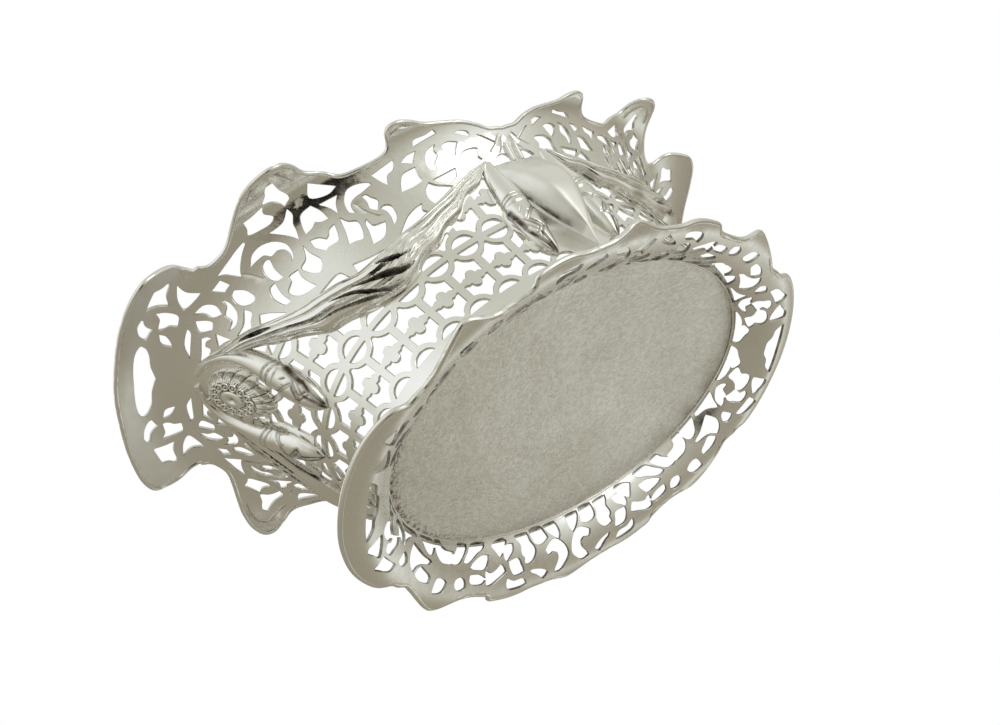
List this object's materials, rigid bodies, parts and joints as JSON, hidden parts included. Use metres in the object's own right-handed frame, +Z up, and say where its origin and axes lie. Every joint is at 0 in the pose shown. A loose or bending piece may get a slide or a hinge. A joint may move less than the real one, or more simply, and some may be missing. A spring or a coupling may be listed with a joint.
{
  "type": "pierced oval basket",
  "caption": "Oval table basket of sawn sheet silver: flared lattice and scroll wall, shaped rim, cloth swags, flower and bud mounts, plain floor and a pierced skirt foot.",
  "frame": {"origin": "middle of the oval, on the plane that the foot rests on", "axes": "+X along the long axis of the oval, +Y across it, +Z up"},
  "size_m": [0.2514, 0.1586, 0.0883],
  "materials": {
    "polished_silver": "polished, with fine handling scratches and darker recesses",
    "brushed_silver": "satin, finely scratched by use"
  },
  "bodies": {
    "root": {"bowl_floor": "brushed_silver", "pierced_wall": "polished_silver", "rim_border": "polished_silver", "pierced_foot": "brushed_silver", "foot_border": "polished_silver", "swag_front_right": "polished_silver", "swag_back_right": "polished_silver", "swag_back_left": "polished_silver", "swag_front_left": "polished_silver", "end_husk_front_right": "polished_silver", "end_husk_back_right": "polished_silver", "end_husk_back_left": "polished_silver", "end_husk_front_left": "polished_silver", "side_husk_front_right": "polished_silver", "side_husk_back_right": "polished_silver", "side_husk_back_left": "polished_silver", "side_husk_front_left": "polished_silver", "end_patera_right": "polished_silver", "end_patera_left": "polished_silver", "side_boss_back": "polished_silver", "side_boss_front": "polished_silver", "side_strap_back_left": "polished_silver", "side_strap_back_right": "polished_silver", "side_strap_front_left": "polished_silver", "side_strap_front_right": "polished_silver"}
  },
  "joints": []
}
